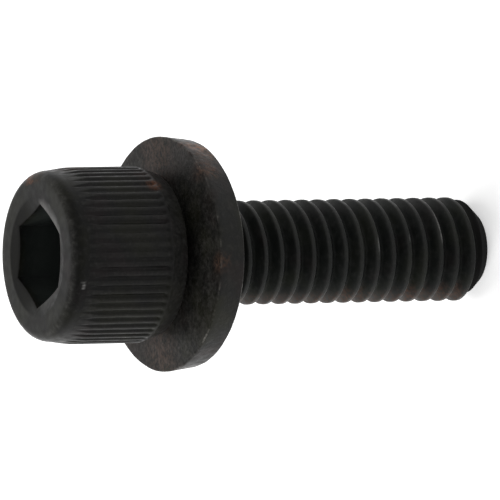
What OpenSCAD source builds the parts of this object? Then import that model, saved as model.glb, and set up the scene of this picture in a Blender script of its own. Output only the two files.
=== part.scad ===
// Hexagon socket head cap screw with a captive flat washer.
// The screw stands on its threaded end: +Z runs up the axis towards the head,
// and the origin is the middle of the end face.

/* [Thread] */
// Diameter over the thread crests
thread_d = 5.82; // [5.75:0.01:6.2]
// Length from the head's bearing face to the threaded end
shank_len = 20; // [12:0.5:40]
// Diameter of the flat end face
end_d = 4.1; // [3:0.05:5]
// Length of the chamfer at the threaded end
end_chamfer_len = 0.95; // [0.3:0.05:1.6]

/* [Neck] */
// Diameter of the plain neck that carries the washer
neck_d = 5.1; // [4.6:0.05:5.25]
// Length of the cone that runs the neck out into the thread
run_out_len = 0.4; // [0.2:0.05:1]

/* [Head] */
// Diameter over the knurl ridges
head_d = 9.8; // [9.4:0.05:10.4]
// Height of the head, from the bearing face to the top face
head_h = 7.1; // [6:0.1:9]
// Height of the rounded edge round the top face
rim_round_h = 0.8; // [0.2:0.05:1]
// Width of the rounded edge round the top face
rim_round_w = 0.55; // [0.2:0.05:0.8]
// Distance from the top face to the foot of the tapered crown
crown_h = 2; // [1.2:0.1:3]
// Amount by which the crown tapers in on the radius
crown_taper = 0.16; // [0.1:0.02:0.3]
// Height of the bevelled foot under the knurl
foot_h = 1.1; // [0.5:0.1:2]
// Amount by which the foot bevels in on the radius
foot_bevel = 0.4; // [0.2:0.05:0.8]

/* [Knurl] */
// Number of ridges round the head
ridge_count = 58; // [40:1:72]
// Depth of the groove between two ridges
groove_depth = 0.15; // [0.05:0.01:0.2]
// Width of a groove at the ridge tops
groove_w = 0.26; // [0.1:0.02:0.3]

/* [Socket] */
// Width of the hexagon socket across its flats
socket_af = 5; // [4:0.1:5.2]
// Depth of the socket's flat walls below the top face
socket_depth = 3.2; // [2:0.1:4]
// Height of the cone at the bottom of the socket
socket_point_h = 0.8; // [0.2:0.1:1.5]
// Turn of the hexagon about the axis
socket_turn = -6; // [-30:1:30]
// Diameter of the shallow countersink at the socket's mouth
mouth_d = 6.6; // [6.1:0.05:7]
// Depth of the countersink where it meets the hexagon's flats
mouth_depth = 0.2; // [0.05:0.05:0.5]

/* [Washer] */
// Outside diameter of the washer, at its upper edge
washer_d = 13.1; // [11:0.1:16]
// Amount by which the punched rim tapers in towards the lower face, on the radius
washer_rim_taper = 0.2; // [0.05:0.05:0.4]
// Thickness of the washer
washer_t = 1.65; // [0.8:0.05:2.5]
// Play on the diameter between the washer's hole and the neck
washer_play = 0.42; // [0.36:0.02:0.48]
// Radius of the washer's rounded edges
washer_edge_r = 0.1; // [0.05:0.05:0.35]
// Angle by which the loose washer leans off square to the axis
washer_lean = 3.6; // [0:0.1:4]
// Direction of the side that leans up towards the head, round from +X
washer_lean_dir = 85; // [0:1:359]
// Clearance under the head at the middle of the washer
washer_head_gap = 0.55; // [0.4:0.05:1]
// Clearance between the washer and the run-out cone that it settles on
washer_seat_gap = 0.05; // [0.03:0.01:0.2]

/* [Hidden] */
$fn = 96;
round_steps = 5;
overshoot = 0.5;
hex_sides = 6;
thread_r = thread_d / 2;
neck_r = neck_d / 2;
head_r = head_d / 2;
head_top = shank_len + head_h;
rim_r = head_r - crown_taper;
washer_hole_r = neck_r + washer_play / 2;
// The washer hangs this far under the bearing face, with its middle on the axis
washer_mid = shank_len - washer_head_gap - washer_t / 2 * cos(washer_lean);
// The lowest edge of its hole settles on the run-out cone, which sets where the thread starts
hole_low = washer_mid - washer_t / 2 * cos(washer_lean) - washer_hole_r * sin(washer_lean);
cone_slope = run_out_len / (thread_r - neck_r);
thread_top = hole_low - washer_seat_gap - cone_slope * (thread_r - washer_hole_r);

// Quarter ellipse that turns from a flat face, at [from_r, from_z], down to a side, at [to_r, to_z]
function rounded_edge(from_r, from_z, to_r, to_z) = [
    for (i = [0 : round_steps])
        let (a = 90 * i / round_steps)
            [from_r + (to_r - from_r) * sin(a), to_z + (from_z - to_z) * cos(a)]
];

function reversed(points) = [for (i = [len(points) - 1 : -1 : 0]) points[i]];

// Half section of the head: bevelled foot, straight barrel, tapered crown, rounded top edge
module head_section() {
    top_edge = rounded_edge(rim_r - rim_round_w, head_top, rim_r, head_top - rim_round_h);
    polygon(concat(
        [
            [0, shank_len],
            [head_r - foot_bevel, shank_len],
            [head_r, shank_len + foot_h],
            [head_r, head_top - crown_h]
        ],
        reversed(top_edge),
        [[0, head_top]]
    ));
}

// Star whose notches are the knurl's grooves; its points lie just outside the barrel
module ridge_star() {
    reach = 0.3 * groove_depth;
    pitch = 360 / ridge_count;
    half_w = groove_w / 2 * (groove_depth + reach) / groove_depth;
    half_a = asin(half_w / (head_r + reach));
    polygon([
        for (i = [0 : ridge_count - 1])
            for (p = [[head_r + reach, -half_a], [head_r - groove_depth, 0], [head_r + reach, half_a]])
                [p[0] * cos(i * pitch + p[1]), p[0] * sin(i * pitch + p[1])]
    ]);
}

// Head with its grooves, which run out on the crown above and on the foot below
module knurled_head() {
    intersection() {
        rotate_extrude() head_section();
        translate([0, 0, shank_len - overshoot])
            linear_extrude(head_h + 2 * overshoot) ridge_star();
    }
}

// Chamfered end, thread at its crest diameter, run-out cone and neck
module shank() {
    rotate_extrude() polygon([
        [0, 0],
        [end_d / 2, 0],
        [thread_r, end_chamfer_len],
        [thread_r, thread_top],
        [neck_r, thread_top + run_out_len],
        [neck_r, shank_len + overshoot],
        [0, shank_len + overshoot]
    ]);
}

// Hexagon socket with a pointed bottom and a shallow countersink at its mouth
module socket() {
    flat_r = socket_af / 2;
    corner_r = flat_r / cos(180 / hex_sides);
    floor_z = head_top - socket_depth;
    mouth_slope = mouth_depth / (mouth_d / 2 - flat_r);
    translate([0, 0, floor_z]) rotate(socket_turn)
        cylinder(r = corner_r, h = socket_depth + overshoot, $fn = hex_sides);
    rotate_extrude() polygon([
        [0, floor_z - socket_point_h],
        [flat_r, floor_z],
        [flat_r, floor_z + overshoot],
        [0, floor_z + overshoot]
    ]);
    rotate_extrude() polygon([
        [0, head_top - mouth_depth],
        [flat_r, head_top - mouth_depth],
        [mouth_d / 2 + overshoot, head_top + overshoot * mouth_slope],
        [0, head_top + overshoot * mouth_slope]
    ]);
}

module cap_screw() {
    color([0.11, 0.11, 0.11])
    difference() {
        union() {
            knurled_head();
            shank();
        }
        socket();
    }
}

// Half section of the washer: rounded edges and a tapered rim outside, plain hole inside
module washer_section() {
    half_t = washer_t / 2;
    side = half_t - washer_edge_r;
    upper_r = washer_d / 2;
    lower_r = upper_r - washer_rim_taper;
    top_edge = rounded_edge(upper_r - washer_edge_r, half_t, upper_r, side);
    bottom_edge = reversed(rounded_edge(lower_r - washer_edge_r, -half_t, lower_r, -side));
    polygon(concat(
        [[washer_hole_r, -half_t], [washer_hole_r, half_t]],
        top_edge,
        bottom_edge
    ));
}

module flat_washer() {
    color([0.16, 0.16, 0.16])
    translate([0, 0, washer_mid])
        rotate([0, 0, washer_lean_dir]) rotate([0, -washer_lean, 0])
            rotate_extrude() washer_section();
}

cap_screw();
flat_washer();
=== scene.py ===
import bpy
import math
import random
from mathutils import Matrix, Quaternion, Vector, noise


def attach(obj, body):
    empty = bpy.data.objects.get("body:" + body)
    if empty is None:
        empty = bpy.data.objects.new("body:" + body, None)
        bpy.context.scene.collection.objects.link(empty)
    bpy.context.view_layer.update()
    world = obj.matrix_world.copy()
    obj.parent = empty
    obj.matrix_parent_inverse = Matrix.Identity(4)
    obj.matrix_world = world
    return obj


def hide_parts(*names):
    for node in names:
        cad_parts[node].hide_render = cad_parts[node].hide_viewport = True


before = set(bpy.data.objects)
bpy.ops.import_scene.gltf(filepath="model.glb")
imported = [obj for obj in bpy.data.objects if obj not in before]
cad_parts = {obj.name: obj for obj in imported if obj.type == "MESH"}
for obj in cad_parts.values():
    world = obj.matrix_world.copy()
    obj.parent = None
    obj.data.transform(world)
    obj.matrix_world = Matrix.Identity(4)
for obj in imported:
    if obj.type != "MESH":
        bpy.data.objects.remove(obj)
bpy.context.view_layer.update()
scene = bpy.context.scene
scene.view_settings.view_transform = "Standard"
mm = 0.001
rng = random.Random(58)
print("frame loaded:", ", ".join(sorted(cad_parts)))


def facing(place, aim):
    return (Vector(aim) - Vector(place)).to_track_quat("-Z", "Y")


# camera first: a long lens, looking down at the standing screw, rolled so that it lies across the picture
photoCamera = {
    "place": (0.00014, -0.71658, 0.382995),
    "aim": (0.00014, 0.0, 0.013868),
    "rollDeg": -91.025,
    "lens": 1044.8,
    "sensorWidth": 36,
    "clipStart": 0.01,
    "clipEnd": 20,
}

cameraData = bpy.data.cameras.new("photoCamera")
cameraData.sensor_width = photoCamera["sensorWidth"]
cameraData.lens = photoCamera["lens"]
cameraData.clip_start = photoCamera["clipStart"]
cameraData.clip_end = photoCamera["clipEnd"]
camera = bpy.data.objects.new("photoCamera", cameraData)
scene.collection.objects.link(camera)
roll = Quaternion((0, 0, 1), math.radians(photoCamera["rollDeg"]))
camera.location = photoCamera["place"]
camera.rotation_mode = "QUATERNION"
camera.rotation_quaternion = facing(photoCamera["place"], photoCamera["aim"]) @ roll
scene.camera = camera
print("camera set")


def smooth(low, high, value):
    t = min(1.0, max(0.0, (value - low) / (high - low)))
    return t * t * (3 - 2 * t)


def softLess(a, b, width):
    # the lesser of two radii, with the corner between them rounded over this width
    h = max(width - abs(a - b), 0.0) / width
    return min(a, b) - h * h * width * 0.25


def wander(x, y, z, size):
    # slow unevenness, between about -1 and 1, over patches of this size in mm
    # some calls shift x or z, so that their patches fall in other places
    return noise.noise(Vector((x / size, y / size, z / size)))


def wanderRound(r, angle, z, size):
    return wander(r * math.cos(angle), r * math.sin(angle), z, size)


def valueAt(value, angle):
    # a fixed value, or one that changes round the piece
    return value(angle) if callable(value) else value


def spots(x, y, z, marks):
    # strength of a stain at this point: each mark is a middle, a reach in mm and a strength
    total = 0.0
    for mx, my, mz, reach, strength in marks:
        d = math.dist((x, y, z), (mx, my, mz))
        if d < reach:
            core = 0.2 * reach  # full strength inside this
            total += strength * (1 - smooth(core, reach, d))
    return min(1.0, total)


class Skin:
    # points and faces of one piece in mm, with what the finish has to know at each point
    def __init__(self):
        self.points = []
        self.faces = []
        self.worn = []
        self.dust = []
        self.rust = []
        self.bareAndPaintedLight = []
        self.dull = []

    def add(self, x, y, z, worn=0.0, dust=0.0, rust=0.0, bareAndPaintedLight=0.0, dull=0.0):
        self.points.append((x, y, z))
        self.worn.append(worn)
        self.dust.append(dust)
        self.rust.append(rust)
        self.bareAndPaintedLight.append(bareAndPaintedLight)
        self.dull.append(dull)
        return len(self.points) - 1

    def joinRings(self, upper, lower):
        count = len(upper)
        for c in range(count):
            n = (c + 1) % count
            self.faces.append((upper[c], lower[c], lower[n], upper[n]))

    def build(self, name, sharpDeg):
        mesh = bpy.data.meshes.new(name)
        mesh.from_pydata([(x * mm, y * mm, z * mm) for x, y, z in self.points], [], self.faces)
        mesh.validate()
        mesh.shade_smooth()
        mesh.set_sharp_from_angle(angle=math.radians(sharpDeg))
        # the worn layer also carries painted sheen and painted fill light, the bare-steel layer painted
        # highlights
        for label, values in (
            ("wearAndPaintedLight", self.worn),
            ("socketHaze", self.dust),
            ("rustTint", self.rust),
            ("bareSteelAndHighlight", self.bareAndPaintedLight),
            ("dullEnd", self.dull),
        ):
            layer = mesh.attributes.new(label, "FLOAT", "POINT")
            layer.data.foreach_set("value", values)
        piece = bpy.data.objects.new(name, mesh)
        scene.collection.objects.link(piece)
        return piece


# the hexagon socket and the shallow countersink round its mouth
socket = {
    "acrossFlats": 5.0,
    "turnDeg": -6.0,
    "pointZ": 23.1,
    "pointRing": (0.5, 0.16),  # radius, height over the point
    "pointR": 2.45,
    "wallZ": 23.9,
    "floorRing": (0.06, 0.02),  # in, down
    "cornerRing": (0.03, 0.04),  # in, up
    "wallHaze": ((1.6, 0.9), (0.7, 0.4)),  # depth under the face, haze
    "mouthR": 3.3,
    "mouthDeep": 0.2,
    "edgeDown": 0.05,
    "edgeRound": 0.012,
    "slopeRings": (0.05, 0.2),  # out from the hexagon
    "rimIn": 0.06,
    "rimRings": ((-0.01, 0.004), (0.03, 0.001)),  # out, down
    "mouthWorn": 0.17,
    # a painted highlight along the mouth's edge: where it is broad and where it is fine
    "brightEdge": 0.35,
    "brightFromDeg": (-74, -58),
    "brightToDeg": (-12, 0),
    "fineEdge": 0.1,
    "fineFromDeg": (-184, -165),
    "fineToDeg": (-66, -56),
    "highlightUneven": 0.4,
    "highlightPatch": (3, 5, 0.5),  # radius and height in the noise, size
    "dullSide": 0.7,
    "dullFrom": (-0.2, 0.6),
}

turn = math.radians(socket["turnDeg"])


def hexRadius(angle):
    side = math.radians(60)
    inside = (angle - turn) % side - side / 2
    return socket["acrossFlats"] / 2 / math.cos(inside)


def socketRings(ring):
    # from the socket's point up to its mouth
    mouthSlope = socket["mouthDeep"] / (socket["mouthR"] - socket["acrossFlats"] / 2)

    def mouthZ(a):
        return head["topZ"] - (socket["mouthR"] - hexRadius(a)) * mouthSlope

    def mouthHighlight(a):
        # a painted highlight along the mouth's edge, broad over one range of angles and fine over another,
        # uneven in patches
        degrees = (math.degrees(a) + 180) % 360 - 180
        bright = smooth(*socket["brightFromDeg"], degrees) * (1 - smooth(*socket["brightToDeg"], degrees))
        fine = smooth(*socket["fineFromDeg"], degrees) * (1 - smooth(*socket["fineToDeg"], degrees))
        r, z, size = socket["highlightPatch"]
        uneven = 0.8 + socket["highlightUneven"] * wanderRound(r, a, z, size)
        return (socket["brightEdge"] * bright + socket["fineEdge"] * fine) * uneven

    def farSideDull(a):
        # the far side of the countersink is given a rough, chalky skin
        return socket["dullSide"] * smooth(*socket["dullFrom"], math.sin(a))

    firstR, rise = socket["pointRing"]
    ring(firstR, socket["pointZ"] + rise, dust=1.0)
    inset, drop = socket["floorRing"]
    ring(socket["pointR"] - inset, socket["wallZ"] - drop, dust=1.0)
    cornerIn, cornerUp = socket["cornerRing"]
    ring(lambda a: hexRadius(a) - cornerIn, socket["wallZ"], dust=1.0)
    ring(hexRadius, socket["wallZ"] + cornerUp, dust=1.0)
    for depth, haze in socket["wallHaze"]:
        ring(hexRadius, head["topZ"] - depth, dust=haze)
    ring(hexRadius, lambda a: mouthZ(a) - socket["edgeDown"])

    mouthRings = [(socket["edgeRound"], -socket["edgeRound"])]
    mouthRings += [(out, out * mouthSlope) for out in socket["slopeRings"]]
    for out, up in mouthRings:
        # the mouth's edge rings carry the painted highlight
        ring(lambda a: hexRadius(a) + out, lambda a: mouthZ(a) + up, bareAndPaintedLight=mouthHighlight, dull=farSideDull)
    ring(socket["mouthR"] - socket["rimIn"], head["topZ"] - socket["rimIn"] * mouthSlope, dull=farSideDull)
    for out, down in socket["rimRings"]:
        ring(socket["mouthR"] + out, head["topZ"] - down, socket["mouthWorn"])


# the head: rounded top edge, tapered crown, straight knurl, bevelled foot
head = {
    "topZ": 27.1,
    "faceR": 4.19,
    "faceRings": (0.12, 0.26, 0.45, 0.67),  # out from the socket's mouth
    "rimR": 4.74,
    "rimZ": 26.3,
    "edgeSteps": 9,
    "barrelR": 4.9,
    "crownZ": 25.1,
    "footZ": 21.1,
    "footR": 4.5,
    "footEdge": ((0.01, 0.03), (0.05, 0.0)),  # in, up
    "seatZ": 20.0,
    "seatR": 3.6,
    "filletR": 0.25,
    "filletSteps": 4,
    "corner": 0.03,
    "heights": [26.24, 26.16, 26.08, 26.0, 25.92, 25.84, 25.74, 25.62, 25.5, 25.38, 25.24, 25.1,
                24.9, 24.6, 24.2, 23.8, 23.4, 23.0, 22.6, 22.2, 21.8, 21.6, 21.45, 21.37,
                21.3, 21.22, 21.15, 21.1, 21.02, 20.94, 20.86, 20.7, 20.5, 20.2, 20.08],
    "ridges": 58,
    "ridgeStand": 0.005,
    "grooveDeep": 0.13,
    "grooveShape": 1.3,
    "grooveUneven": 0.2,
    "grooveWander": 0.25,
    "groovePatch": 0.9,
    "grooveEndZ": (21.1, 21.45),
    # wear and painted sheen on the face and its rounded edge
    "faceWornAndSheen": 0.3,
    "faceUneven": 0.9,
    "facePatch": 0.3,
    "edgeWearAndSheen": 0.8,
    "edgeWearAndSheenDeg": (0, 20),
    "edgeFadeDeg": (26, 55),
    "ridgeWorn": 0.5,
    "ridgeWornZ": (21.3, 26.2),
    "ridgeTop": (0.1, 0.5),
    "ridgePatch": 0.8,
    "patchR": 5,  # radius at which the knurl's noise is read
    # painted fill light on the foot's bevel, carried by the worn layer
    "footPaintedLight": 0.55,
    "footPaintedLightZ": (20.9, 21.2),
    "columns": 696,
    "sharpDeg": 32,
    "rust": [(4.19, 0.75, 27.0, 0.55, 1.0), (4.3, 0.4, 26.9, 1.3, 0.2), (3.85, -3.0, 21.3, 0.65, 0.6),
             (4.4, -2.0, 21.6, 0.9, 0.08), (4.66, -0.2, 25.2, 1.5, 0.15), (-3.1, 1.73, 27.1, 0.8, 0.15)],
    "nicks": [(-1.5, -4.5, 26.5, 0.11, 0.7), (-1.65, -4.45, 26.48, 0.11, 0.9),
              (-1.8, -4.39, 26.46, 0.11, 0.7)],
}


def grooveShare(angle):
    # 1 in the middle of a groove, 0 on top of a ridge
    wave = 0.5 + 0.5 * math.cos(angle * head["ridges"])
    return wave ** head["grooveShape"]


def ridgeNumber(angle):
    pitch = 2 * math.pi / head["ridges"]
    return int(((angle + pitch / 2) % (2 * math.pi)) / pitch) % head["ridges"]


def headRings(ring):
    # from the flat face, over the edge and down the knurl to the seat
    def rubbed(a, r):
        # handling wears the face in patches
        return 1 + head["faceUneven"] * wanderRound(r, a, head["topZ"], head["facePatch"])

    # the flat face is painted paler: wear in patches, and a painted sheen on the top face
    for out in head["faceRings"]:
        r = socket["mouthR"] + out
        ring(r, head["topZ"], lambda a: head["faceWornAndSheen"] * rubbed(a, r))

    # the start of the rounded edge is painted paler: wear in patches, and a painted sheen, strongest just
    # outside the flat face and fading further round
    for i in range(head["edgeSteps"] + 1):
        degrees = 90 * i / head["edgeSteps"]
        t = math.radians(degrees)
        r = head["faceR"] + (head["rimR"] - head["faceR"]) * math.sin(t)
        z = head["rimZ"] + (head["topZ"] - head["rimZ"]) * math.cos(t)
        rise = smooth(*head["edgeWearAndSheenDeg"], degrees)
        worn = head["faceWornAndSheen"] + (head["edgeWearAndSheen"] - head["faceWornAndSheen"]) * rise
        worn *= 1 - smooth(*head["edgeFadeDeg"], degrees)
        ring(r, z, lambda a: worn * rubbed(a, r), outside=True)

    # crown, barrel and foot: the grooves run out on the crown and just above the foot
    crownRise = (head["barrelR"] - head["rimR"]) / (head["rimZ"] - head["crownZ"])
    footRise = (head["barrelR"] - head["footR"]) / (head["footZ"] - head["seatZ"])
    grooveCut = [1 + head["grooveUneven"] * rng.uniform(-1, 1) for _ in range(head["ridges"])]
    wornLow, wornHigh = head["ridgeWornZ"]

    def sectionRadius(z):
        crown = head["rimR"] + crownRise * (head["rimZ"] - z)
        foot = head["footR"] + footRise * (z - head["seatZ"])
        return softLess(softLess(crown, head["barrelR"], head["corner"]), foot, head["corner"])

    def knurlRadius(a, z):
        deep = head["grooveDeep"] * grooveCut[ridgeNumber(a)]
        deep *= 1 + head["grooveWander"] * wanderRound(head["patchR"], a, z, head["groovePatch"])
        deep *= smooth(*head["grooveEndZ"], z)
        floor = head["barrelR"] + head["ridgeStand"] - deep * grooveShare(a)
        return softLess(sectionRadius(z), floor, head["corner"])

    def ridgeWearAndFootLight(a, z):
        # the tops of the ridges are rubbed; the whole foot is painted lighter, a painted fill light on the
        # bevel under the knurl
        if wornLow < z < wornHigh:
            rub = 0.5 + 0.5 * wanderRound(head["patchR"], a, z + 40, head["ridgePatch"])
            return head["ridgeWorn"] * rub * (1 - smooth(*head["ridgeTop"], grooveShare(a)))
        return head["footPaintedLight"] * (1 - smooth(*head["footPaintedLightZ"], z))

    for z in head["heights"]:
        ring(lambda a: knurlRadius(a, z), z, lambda a: ridgeWearAndFootLight(a, z), outside=True)
    (edgeIn, edgeUp), (seatIn, seatUp) = head["footEdge"]
    # the foot's edge ring carries the same painted fill light
    ring(head["footR"] - edgeIn, head["seatZ"] + edgeUp, head["footPaintedLight"])
    ring(head["footR"] - seatIn, head["seatZ"] + seatUp)


# the thread: one right-hand start, cut off by the chamfered end and run out into the neck
thread = {
    "crestR": 2.91,
    "rootR": 2.36,
    "pitch": 1.0,
    "crestZ": 0.6,
    "crestHalf": 0.115,
    "crestRound": 0.08,
    "rootRound": 0.16,
    "flankSlope": 1.66,
    "endR": 2.05,
    "endFold": 1.25,
    "endHole": 0.02,
    "chamferZ": 0.95,
    "chamferRound": 0.04,
    "runOutZ": 17.413,
    "runOutLead": 0.35,
    "neckZ": 17.813,
    "neckR": 2.55,
    "gridTopZ": 19.2,
    "neckRingZ": 19.35,
    "dentDeep": 0.012,
    "dentPatch": 0.7,
    "dentReach": (0.15, 0.3),  # from the crest, in pitches
    "dust": 0.18,
    "sidePaler": 0.2,
    "sideRedder": 0.25,
    "sideX": (2.1, 2.75),
    "sideZ": (1, 3),
    "crestWorn": 0.22,
    "crestReach": (0.1, 0.2),
    # painted highlight lines along the crests' tip-side edges
    "highlightLine": 0.9,
    "highlightReach": (0.03, 0.07),
    "endHighlight": 0.12,
    "dullZ": (0.75, 1.15),
    "columns": 116,
    "steps": [0, 0.05, 0.09, 0.12, 0.15, 0.18, 0.22, 0.28, 0.34, 0.4, 0.45,
              0.5, 0.55, 0.6, 0.66, 0.72, 0.78, 0.82, 0.85, 0.88, 0.91, 0.95],
    "rust": [(-2.8, -0.6, 8.1, 1.6, 0.35), (-2.8, -0.6, 4.4, 1.8, 0.35), (-2.7, -0.6, 2.0, 1.8, 0.35)],
    # patches of the painted crest highlights, all on the side towards -Y
    "crestHighlights": [(1.84, -2.25, 3.46, 0.6, 0.4), (1.3, -2.6, 3.35, 0.5, 0.5),
                   (0.7, -2.82, 3.25, 0.5, 0.5), (0.66, -2.83, 5.5, 0.35, 0.4),
                   (1.43, -2.53, 5.8, 0.25, 0.3), (2.03, -2.09, 4.7, 0.25, 0.3),
                   (0.3, -2.9, 7.2, 0.6, 0.4)],
}


def threadRadius(past):
    # distance from the axis at this fraction of a pitch past the crest
    away = min(past, 1 - past) * thread["pitch"]
    flank = thread["crestR"] - (away - thread["crestHalf"]) * thread["flankSlope"]
    crest = softLess(thread["crestR"], flank, thread["crestRound"])
    return -softLess(-crest, -thread["rootR"], thread["rootRound"])


def threadGrid(skin, angles, neckRing):
    # a grid that climbs one pitch in each turn, so its rows follow the helix
    columns = thread["columns"]
    pitch = thread["pitch"]
    steps = thread["steps"]
    rows = len(steps)
    baseZ = thread["crestZ"] + socket["turnDeg"] / 360 * pitch - 2 * pitch
    topRow = int((thread["gridTopZ"] - pitch - baseZ) / pitch) * rows
    chamferSlope = (thread["crestR"] - thread["endR"]) / thread["chamferZ"]
    coneSlope = (thread["crestR"] - thread["neckR"]) / (thread["neckZ"] - thread["runOutZ"])

    def lastRow(k):
        # the first column is a turn longer, for the last one to join on to
        return topRow + (rows if k == 0 else 0)

    def heightOf(k, j):
        return baseZ + pitch * (k / columns + j // rows + steps[j % rows])

    # in each column the point next to the end face's edge is put on that edge
    edgeRow = [min(range(lastRow(k)), key=lambda j: abs(heightOf(k, j))) for k in range(columns)]

    def addPoint(k, j):
        a = angles[k]
        z = heightOf(k, j)
        past = steps[j % rows]
        away = min(past, 1 - past)
        r = threadRadius(past)
        worn = 0.0
        bareAndPaintedLight = 0.0
        dull = 1 - smooth(*thread["dullZ"], z)
        if j == edgeRow[k]:
            r = thread["endR"]
            z = 0.0
            # a thin painted highlight round the end's edge
            bareAndPaintedLight = thread["endHighlight"]
        elif j < edgeRow[k]:
            # the rows below the edge lie on the flat end, further in
            r = thread["endR"] * max(thread["endHole"], 1 + z / thread["endFold"])
            z = 0.0
        else:
            r = softLess(r, thread["endR"] + chamferSlope * z, thread["chamferRound"])
            fade = smooth(thread["runOutZ"] - thread["runOutLead"], thread["neckZ"], z)
            r = r + (thread["neckR"] - r) * fade
            cone = thread["crestR"] - coneSlope * (z - thread["runOutZ"])
            r = min(r, max(cone, thread["neckR"]))
            dent = 0.5 - 0.5 * wander(r * math.cos(a) + 20, r * math.sin(a), z, thread["dentPatch"])
            r -= thread["dentDeep"] * dent * (1 - smooth(*thread["dentReach"], away)) * (1 - fade)
            worn = thread["crestWorn"] * (1 - smooth(*thread["crestReach"], away)) * (1 - fade)
            # painted highlight lines along the crest's edge on the side of the tip, in patches on the side
            # towards -Y
            highlightBand = 1 - smooth(*thread["highlightReach"], abs(past - thread["highlightLine"]))
            highlightSpots = spots(r * math.cos(a), r * math.sin(a), z, thread["crestHighlights"])
            bareAndPaintedLight = highlightBand * (1 - fade) * highlightSpots
        x = r * math.cos(a)
        y = r * math.sin(a)
        # the thread is paler and a little redder on its -X side
        towardsMinusX = smooth(*thread["sideX"], -x)
        sideRedder = thread["sideRedder"] * towardsMinusX * smooth(*thread["sideZ"], z)
        rust = max(spots(x, y, z, thread["rust"]), sideRedder)
        dust = (thread["dust"] + thread["sidePaler"] * towardsMinusX) * (1 - dull)
        return skin.add(x, y, z, worn, dust, rust, bareAndPaintedLight, dull)

    grid = {}
    for k in range(columns):
        for j in range(lastRow(k) + 1):
            grid[k, j] = addPoint(k, j)

    def corner(k, j):
        return grid[k, j] if k < columns else grid[0, j + rows]

    def onEdge(k, j):
        return j == edgeRow[k] if k < columns else j + rows == edgeRow[0]

    for k in range(columns):
        for j in range(topRow):
            a, b, c, d = corner(k, j + 1), corner(k, j), corner(k + 1, j), corner(k + 1, j + 1)
            if onEdge(k, j + 1) and onEdge(k + 1, j):
                skin.faces.append((a, b, c))
                skin.faces.append((a, c, d))
            else:
                skin.faces.append((a, b, c, d))

    # the plain neck closes the grid above, the flat end closes it below
    for k in range(1, columns):
        n = (k + 1) % columns
        skin.faces.append((neckRing[k], corner(k, topRow), corner(k + 1, topRow), neckRing[n]))
    seam = [grid[0, topRow + i] for i in range(rows, -1, -1)]
    skin.faces.append((neckRing[0], *seam, grid[1, topRow], neckRing[1]))
    rim = [grid[k, 0] for k in range(columns)]
    skin.faces.append((*[grid[0, i] for i in range(rows, 0, -1)], *rim)[::-1])


def makeScrew():
    skin = Skin()
    count = head["columns"]
    angles = [turn + 2 * math.pi * c / count for c in range(count)]
    rings = []

    def ring(radius, height, worn=0.0, dust=0.0, bareAndPaintedLight=0.0, dull=0.0, outside=False):
        made = []
        for a in angles:
            r = valueAt(radius, a)
            x = r * math.cos(a)
            y = r * math.sin(a)
            z = valueAt(height, a)
            rust = 0.0
            # bare nicks, and the painted highlight on the mouth's edge
            bareAndHighlightHere = valueAt(bareAndPaintedLight, a)
            if outside:
                rust = spots(x, y, z, head["rust"])
                bareAndHighlightHere += spots(x, y, z, head["nicks"])
            made.append(skin.add(x, y, z, valueAt(worn, a), dust, rust, bareAndHighlightHere, valueAt(dull, a)))
        rings.append(made)

    # rings from the socket's point to the seat, closed at the point and sewn together
    socketRings(ring)
    headRings(ring)
    tip = skin.add(0, 0, socket["pointZ"], dust=1.0)
    for c in range(count):
        skin.faces.append((tip, rings[0][c], rings[0][(c + 1) % count]))
    for upper, lower in zip(rings, rings[1:]):
        skin.joinRings(upper, lower)

    # the seat under the head steps down to the shank's columns
    columns = thread["columns"]
    ratio = count // columns
    shankAngles = [turn + 2 * math.pi * k / columns for k in range(columns)]

    def shankRing(r, z):
        return [skin.add(r * math.cos(a), r * math.sin(a), z) for a in shankAngles]

    seat = shankRing(head["seatR"], head["seatZ"])
    outer = rings[-1]
    for k in range(columns):
        n = (k + 1) % columns
        edge = [outer[(k * ratio + i) % count] for i in range(ratio, 0, -1)]
        skin.faces.append((outer[k * ratio], seat[k], seat[n], *edge))

    # a fillet leads into the neck, and the thread follows
    neck = [seat]
    for i in range(head["filletSteps"] + 1):
        t = math.radians(90 * i / head["filletSteps"])
        r = thread["neckR"] + head["filletR"] * (1 - math.sin(t))
        neck.append(shankRing(r, head["seatZ"] - head["filletR"] * (1 - math.cos(t))))
    neck.append(shankRing(thread["neckR"], thread["neckRingZ"]))
    for upper, lower in zip(neck, neck[1:]):
        skin.joinRings(upper, lower)
    threadGrid(skin, shankAngles, neck[-1])
    return skin.build("capScrew", head["sharpDeg"])


screwPiece = makeScrew()
print("screw made:", len(screwPiece.data.vertices), "points")


# the loose washer, in its lean under the head
washer = {
    "upperR": 6.55,
    "lowerR": 6.35,
    "holeR": 2.76,
    "thick": 1.65,
    "edgeR": 0.1,
    "edgeSteps": 6,
    "leanDeg": 3.6,
    "leanDirDeg": 85.0,
    "midZ": 18.6266,
    "holeEdge": ((0.0, 0.06, 0.0), (0.02, 0.015, 0.2), (0.08, 0.0, 0.1)),  # out, from the face, wear
    "faceRings": (3.4, 4.1, 4.8, 5.5, 6.0),
    "lastRing": 6.25,
    "rimRings": (0.25, 0.5, 0.75),  # shares of the way down
    # wear and painted sheen on both faces
    "faceWornAndSheen": 0.2,
    "faceEven": 0.6,
    "edgeEven": 0.15,
    "wornPatch": 0.8,
    "wornShows": (-0.15, 0.4),
    "dentFromR": 6.1,
    "dentDeep": 0.025,
    "dentPatches": ((1.1, 0), (0.35, 9)),  # size, shift
    "columns": 240,
    "sharpDeg": 40,
    "rust": [(6.0, -2.5, -0.45, 0.8, 0.8), (6.05, -2.4, 0.2, 0.8, 0.9), (5.6, -3.2, -0.4, 1.4, 0.4),
             (4.7, -4.5, 0.4, 1.0, 0.4), (-0.5, -6.3, 0.8, 0.8, 0.3),
             (5.6, 0.2, 0.8, 2.4, 0.2), (-5.6, 0.2, 0.8, 2.4, 0.16)],
}


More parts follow.
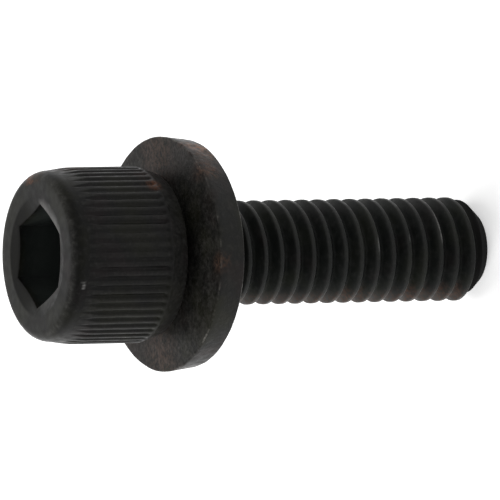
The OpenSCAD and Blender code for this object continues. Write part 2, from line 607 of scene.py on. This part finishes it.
def washerSection():
    # radius, height and wear (on the faces, wear and a painted sheen), once round from the hole's lower
    # edge, over the top and down the rim
    half = washer["thick"] / 2
    edge = washer["edgeR"]
    hole = washer["holeR"]
    upper = washer["upperR"] - edge
    lower = washer["lowerR"] - edge
    faceWornAndSheen = washer["faceWornAndSheen"]
    quarter = [math.radians(90 * i / washer["edgeSteps"]) for i in range(washer["edgeSteps"] + 1)]
    above = [(hole + out, half - inward, wear) for out, inward, wear in washer["holeEdge"]]
    below = [(hole + out, -half + inward, wear) for out, inward, wear in washer["holeEdge"]]

    section = [below[0], *above]
    section += [(r, half, faceWornAndSheen) for r in (*washer["faceRings"], washer["lastRing"])]
    for t in quarter:
        wear = max(math.sin(2 * t), faceWornAndSheen * math.cos(t))
        section.append((upper + edge * math.sin(t), half - edge + edge * math.cos(t), wear))
    for share in washer["rimRings"]:
        r = washer["upperR"] + (washer["lowerR"] - washer["upperR"]) * share
        section.append((r, (half - edge) * (1 - 2 * share), 0.0))
    for t in quarter:
        wear = max(math.sin(2 * t), faceWornAndSheen * math.sin(t))
        section.append((lower + edge * math.cos(t), -half + edge - edge * math.sin(t), wear))
    section += [(r, -half, faceWornAndSheen) for r in reversed(washer["faceRings"])]
    section += [below[2], below[1]]
    return section


def makeWasher():
    skin = Skin()
    place = (Matrix.Translation((0, 0, washer["midZ"]))
             @ Matrix.Rotation(math.radians(washer["leanDirDeg"]), 4, "Z")
             @ Matrix.Rotation(math.radians(-washer["leanDeg"]), 4, "Y"))
    back = place.inverted().to_3x3()
    marks = [(*(back @ Vector((x, y, 0))).xy, z, reach, strength)
             for x, y, z, reach, strength in washer["rust"]]
    count = washer["columns"]
    rings = []
    for r, z, worn in washerSection():
        # the edges are rubbed in patches; the faces are painted paler more evenly, wear and a painted
        # sheen
        even = washer["faceEven"] if worn == washer["faceWornAndSheen"] else washer["edgeEven"]
        made = []
        for c in range(count):
            a = 2 * math.pi * c / count
            x = r * math.cos(a)
            y = r * math.sin(a)
            # punched and handled: the rim and edges are a little uneven, always inwards
            dent = 0.0
            if r > washer["dentFromR"]:
                for size, shift in washer["dentPatches"]:
                    dent += washer["dentDeep"] * (0.5 + 0.5 * wander(x, y, z + shift, size))
            patch = smooth(*washer["wornShows"], wander(x, y, z + 30, washer["wornPatch"]))
            rubbed = worn * (even + (1 - even) * patch)
            p = place @ Vector(((r - dent) * math.cos(a), (r - dent) * math.sin(a), z))
            made.append(skin.add(p.x, p.y, p.z, rubbed, rust=spots(x, y, z, marks)))
        rings.append(made)
    for lower, upper in zip(rings, rings[1:] + rings[:1]):
        skin.joinRings(lower, upper)
    return skin.build("flatWasher", washer["sharpDeg"])


washerPiece = makeWasher()
print("washer made:", len(washerPiece.data.vertices), "points")


# helpers for node trees
def combine(tree, operation, first, second):
    node = tree.nodes.new("ShaderNodeMath")
    node.operation = operation
    tree.links.new(first, node.inputs[0])
    if isinstance(second, float):
        node.inputs[1].default_value = second
    else:
        tree.links.new(second, node.inputs[1])
    return node.outputs["Value"]


def spanned(tree, value, given, wanted, eased=False):
    # maps one range of a value onto another
    node = tree.nodes.new("ShaderNodeMapRange")
    if eased:
        node.interpolation_type = "SMOOTHSTEP"
    for label, number in zip(("From Min", "From Max", "To Min", "To Max"), (*given, *wanted)):
        node.inputs[label].default_value = number
    tree.links.new(value, node.inputs["Value"])
    return node.outputs["Result"]


# black oxide: detail and roughness of each noise, then the part of it that shows as a layer
oxideNoise = {
    "blotch": (4, 0.6),
    "mottle": (3, 0.6),
    "grain": (3, 0.65),
    "tint": (2, 0.5),
}
oxideShows = {
    "pale": (0.35, 0.75),
    "olive": (0.5, 0.65),
    "rosy": (0.47, 0.35),
    "mottle": (0.5, 0.75),
    "grain": (0.55, 0.8),
    "haze": (0.3, 0.6),
    "wear": (0.35, 0.65),
    "rust": (0.38, 0.62),
    "steelAndHighlight": (0.3, 0.6),
    "rough": (0.3, 0.7),
}


def oxideFinish(name, look):
    material = bpy.data.materials.new(name)
    material.use_nodes = True
    tree = material.node_tree
    nodes = tree.nodes
    links = tree.links
    nodes.clear()
    output = nodes.new("ShaderNodeOutputMaterial")
    shader = nodes.new("ShaderNodeBsdfPrincipled")
    links.new(shader.outputs["BSDF"], output.inputs["Surface"])
    shader.inputs["Specular IOR Level"].default_value = look["specular"]
    shader.inputs["Metallic"].default_value = 0.0
    coords = nodes.new("ShaderNodeTexCoord")

    def noiseOf(kind):
        detail, rough = oxideNoise[kind]
        tex = nodes.new("ShaderNodeTexNoise")
        tex.inputs["Scale"].default_value = look[kind + "Scale"]
        tex.inputs["Detail"].default_value = detail
        tex.inputs["Roughness"].default_value = rough
        links.new(coords.outputs["Object"], tex.inputs["Vector"])
        return tex.outputs["Fac"]

    def showing(value, layer, low, high):
        return spanned(tree, value, oxideShows[layer], (low, high))

    def known(label):
        node = nodes.new("ShaderNodeAttribute")
        node.attribute_name = label
        return node.outputs["Fac"]

    def times(first, second):
        return combine(tree, "MULTIPLY", first, second)

    def layered(under, over, amount):
        node = nodes.new("ShaderNodeMix")
        node.data_type = "RGBA"
        if isinstance(under, tuple):
            node.inputs["A"].default_value = (*under, 1)
        else:
            links.new(under, node.inputs["A"])
        node.inputs["B"].default_value = (*over, 1)
        links.new(amount, node.inputs["Factor"])
        return node.outputs["Result"]

    blotches = noiseOf("blotch")
    mottle = noiseOf("mottle")
    grain = noiseOf("grain")
    tints = noiseOf("tint")
    colour = layered(look["dark"], look["pale"], showing(blotches, "pale", 0, 1))
    colour = layered(colour, look["olive"], showing(tints, "olive", 0, look["tintAmount"]))
    colour = layered(colour, look["rosy"], showing(tints, "rosy", 0, look["tintAmount"]))
    colour = layered(colour, look["grainColour"], showing(mottle, "mottle", 0, look["mottleAmount"]))
    colour = layered(colour, look["grainColour"], showing(grain, "grain", 0, look["grainAmount"]))
    if "haze" in look:
        hazy = times(known("socketHaze"), showing(blotches, "haze", look["hazeLow"], 1))
        colour = layered(colour, look["haze"], hazy)
    # wear, with the painted sheen on the faces and the painted fill light on the foot
    rubbed = times(known("wearAndPaintedLight"), showing(grain, "wear", look["wearLow"], look["wear"]))
    colour = layered(colour, look["bareAndPaintedLight"], rubbed)
    rusted = times(known("rustTint"), showing(grain, "rust", 0, look["rustAmount"]))
    colour = layered(colour, look["rust"], rusted)
    roughness = showing(mottle, "rough", look["roughLow"], look["roughHigh"])
    if "chalk" in look:
        colour = layered(colour, look["chalk"], known("dullEnd"))
        chalky = spanned(tree, known("dullEnd"), (0, 1), (0, look["chalkRough"]))
        roughness = combine(tree, "MAXIMUM", roughness, chalky)
    if "steelAndHighlight" in look:
        # bare steel of nicks, and the painted highlights on the mouth, the crest edges and the end
        shown = times(known("bareSteelAndHighlight"), showing(grain, "steelAndHighlight", look["steelAndHighlightLow"], 1))
        colour = layered(colour, look["steelAndHighlight"], shown)
    links.new(colour, shader.inputs["Base Color"])
    links.new(roughness, shader.inputs["Roughness"])
    bump = nodes.new("ShaderNodeBump")
    bump.inputs["Strength"].default_value = look["bump"]
    bump.inputs["Distance"].default_value = look["bumpDeep"]
    links.new(grain, bump.inputs["Height"])
    links.new(bump.outputs["Normal"], shader.inputs["Normal"])
    return material


screwOxide = oxideFinish("screwBlackOxide", {
    "dark": (0.0022, 0.0022, 0.0021),
    "pale": (0.005, 0.0051, 0.0043),
    "blotchScale": 420,
    "olive": (0.0082, 0.0084, 0.0036),
    "rosy": (0.009, 0.0056, 0.0058),
    "tintScale": 420,
    "tintAmount": 0.55,
    "grainColour": (0.024, 0.023, 0.022),
    "mottleScale": 2600,
    "mottleAmount": 0.45,
    "grainScale": 5200,
    "grainAmount": 0.35,
    "haze": (0.04, 0.047, 0.044),
    "hazeLow": 0.75,
    "bareAndPaintedLight": (0.09, 0.088, 0.083),
    "wearLow": 0.16,
    "wear": 0.38,
    "rust": (0.16, 0.06, 0.028),
    "rustAmount": 0.8,
    "chalk": (0.014, 0.0138, 0.0134),
    "chalkRough": 0.95,
    "steelAndHighlight": (0.3, 0.295, 0.285),
    "steelAndHighlightLow": 0.5,
    "specular": 0.105,
    "roughLow": 0.28,
    "roughHigh": 0.56,
    "bump": 0.25,
    "bumpDeep": 0.00002,
})

washerOxide = oxideFinish("washerBlackOxide", {
    "dark": (0.005, 0.0051, 0.0046),
    "pale": (0.009, 0.009, 0.008),
    "blotchScale": 380,
    "olive": (0.0125, 0.0128, 0.0065),
    "rosy": (0.0145, 0.0095, 0.0085),
    "tintScale": 380,
    "tintAmount": 0.7,
    "grainColour": (0.035, 0.033, 0.03),
    "mottleScale": 2200,
    "mottleAmount": 0.5,
    "grainScale": 4200,
    "grainAmount": 0.4,
    "bareAndPaintedLight": (0.2, 0.19, 0.175),
    "wearLow": 0.1,
    "wear": 0.8,
    "rust": (0.2, 0.085, 0.04),
    "rustAmount": 0.8,
    "specular": 0.125,
    "roughLow": 0.3,
    "roughHigh": 0.58,
    "bump": 0.5,
    "bumpDeep": 0.00004,
})

for piece, node, body, slotName, oxide in (
    (screwPiece, "cap_screw", "screw", "screw_black_oxide", screwOxide),
    (washerPiece, "flat_washer", "washer", "washer_black_oxide", washerOxide),
):
    piece.data.materials.append(oxide)
    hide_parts(node)
    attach(piece, body)
print("finishes set")


# pale floor, which keeps the shadow and shows as white, a white room round it, and soft lamps
stageLook = {
    "floorHalf": 1.5,
    "floorZ": -0.00001,
    "floorColour": (0.8, 0.8, 0.8),
    "floorLift": 0.5,
    "roomGlow": 0.45,
    "frontGlow": 0.72,
    "backGlow": 1.0,
    "backWay": (-0.25, 1.0, 0.0),
    "backSpan": (-0.3, 0.8),
    "zenithKeep": 0.8,
    "zenithSpan": (0.35, 0.9),
    "lampAim": (0, 0, 0.013),
    "lamps": [
        {"name": "topSoftbox", "place": (0.0, 0.3, 0.45), "size": 0.35, "power": 1.3},
        {"name": "leftSoftbox", "place": (-0.42, 0.15, 0.14), "size": 0.3, "power": 1.8},
        {"name": "rightSoftbox", "place": (0.42, 0.15, 0.14), "size": 0.3, "power": 0.4},
    ],
}


def makeFloor():
    h = stageLook["floorHalf"]
    mesh = bpy.data.meshes.new("paperFloor")
    mesh.from_pydata([(-h, -h, 0), (h, -h, 0), (h, h, 0), (-h, h, 0)], [], [(0, 1, 2, 3)])
    floor = bpy.data.objects.new("paperFloor", mesh)
    floor.location.z = stageLook["floorZ"]
    scene.collection.objects.link(floor)
    paper = bpy.data.materials.new("whitePaper")
    paper.use_nodes = True
    tree = paper.node_tree
    nodes = tree.nodes
    links = tree.links
    nodes.clear()
    output = nodes.new("ShaderNodeOutputMaterial")
    diffuse = nodes.new("ShaderNodeBsdfDiffuse")
    diffuse.inputs["Color"].default_value = (*stageLook["floorColour"], 1)
    # the lift is the same to the eye and in reflections
    path = nodes.new("ShaderNodeLightPath")
    mirrored = combine(tree, "MAXIMUM", path.outputs["Is Glossy Ray"], path.outputs["Is Transmission Ray"])
    seen = combine(tree, "MAXIMUM", path.outputs["Is Camera Ray"], mirrored)
    lift = nodes.new("ShaderNodeEmission")
    links.new(combine(tree, "MULTIPLY", seen, stageLook["floorLift"]), lift.inputs["Strength"])
    total = nodes.new("ShaderNodeAddShader")
    links.new(diffuse.outputs["BSDF"], total.inputs[0])
    links.new(lift.outputs["Emission"], total.inputs[1])
    links.new(total.outputs["Shader"], output.inputs["Surface"])
    mesh.materials.append(paper)


def makeRoom():
    world = bpy.data.worlds.new("studioRoom")
    scene.world = world
    world.use_nodes = True
    tree = world.node_tree
    nodes = tree.nodes
    links = tree.links
    nodes.clear()

    def whiteGlow(strength):
        node = nodes.new("ShaderNodeBackground")
        node.inputs["Color"].default_value = (1, 1, 1, 1)
        if isinstance(strength, float):
            node.inputs["Strength"].default_value = strength
        else:
            links.new(strength, node.inputs["Strength"])
        return node.outputs["Background"]

    def mixed(amount, first, second):
        node = nodes.new("ShaderNodeMixShader")
        links.new(amount, node.inputs["Fac"])
        links.new(first, node.inputs[1])
        links.new(second, node.inputs[2])
        return node.outputs["Shader"]

    # in reflections the room is white behind the object, and a little dimmer in front and above
    coords = nodes.new("ShaderNodeTexCoord")
    towardsBack = nodes.new("ShaderNodeVectorMath")
    towardsBack.operation = "DOT_PRODUCT"
    towardsBack.inputs[1].default_value = stageLook["backWay"]
    links.new(coords.outputs["Generated"], towardsBack.inputs[0])
    split = nodes.new("ShaderNodeSeparateXYZ")
    links.new(coords.outputs["Generated"], split.inputs["Vector"])
    across = spanned(tree, towardsBack.outputs["Value"], stageLook["backSpan"],
                     (stageLook["frontGlow"], stageLook["backGlow"]), eased=True)
    upward = spanned(tree, split.outputs["Z"], stageLook["zenithSpan"],
                     (1.0, stageLook["zenithKeep"]), eased=True)
    backdrop = whiteGlow(combine(tree, "MULTIPLY", across, upward))

    path = nodes.new("ShaderNodeLightPath")
    shiny = combine(tree, "MAXIMUM", path.outputs["Is Glossy Ray"], path.outputs["Is Transmission Ray"])
    unseen = mixed(shiny, whiteGlow(stageLook["roomGlow"]), backdrop)
    room = mixed(path.outputs["Is Camera Ray"], unseen, whiteGlow(1.0))
    output = nodes.new("ShaderNodeOutputWorld")
    links.new(room, output.inputs["Surface"])


def makeLamps():
    for lamp in stageLook["lamps"]:
        data = bpy.data.lights.new(lamp["name"], "AREA")
        data.shape = "DISK"
        data.size = lamp["size"]
        data.energy = lamp["power"]
        box = bpy.data.objects.new(lamp["name"], data)
        scene.collection.objects.link(box)
        box.location = lamp["place"]
        box.visible_glossy = False  # the finish shows the room, not the lamps
        box.rotation_mode = "QUATERNION"
        box.rotation_quaternion = facing(lamp["place"], stageLook["lampAim"])


makeFloor()
makeRoom()
makeLamps()
print("stage lit")
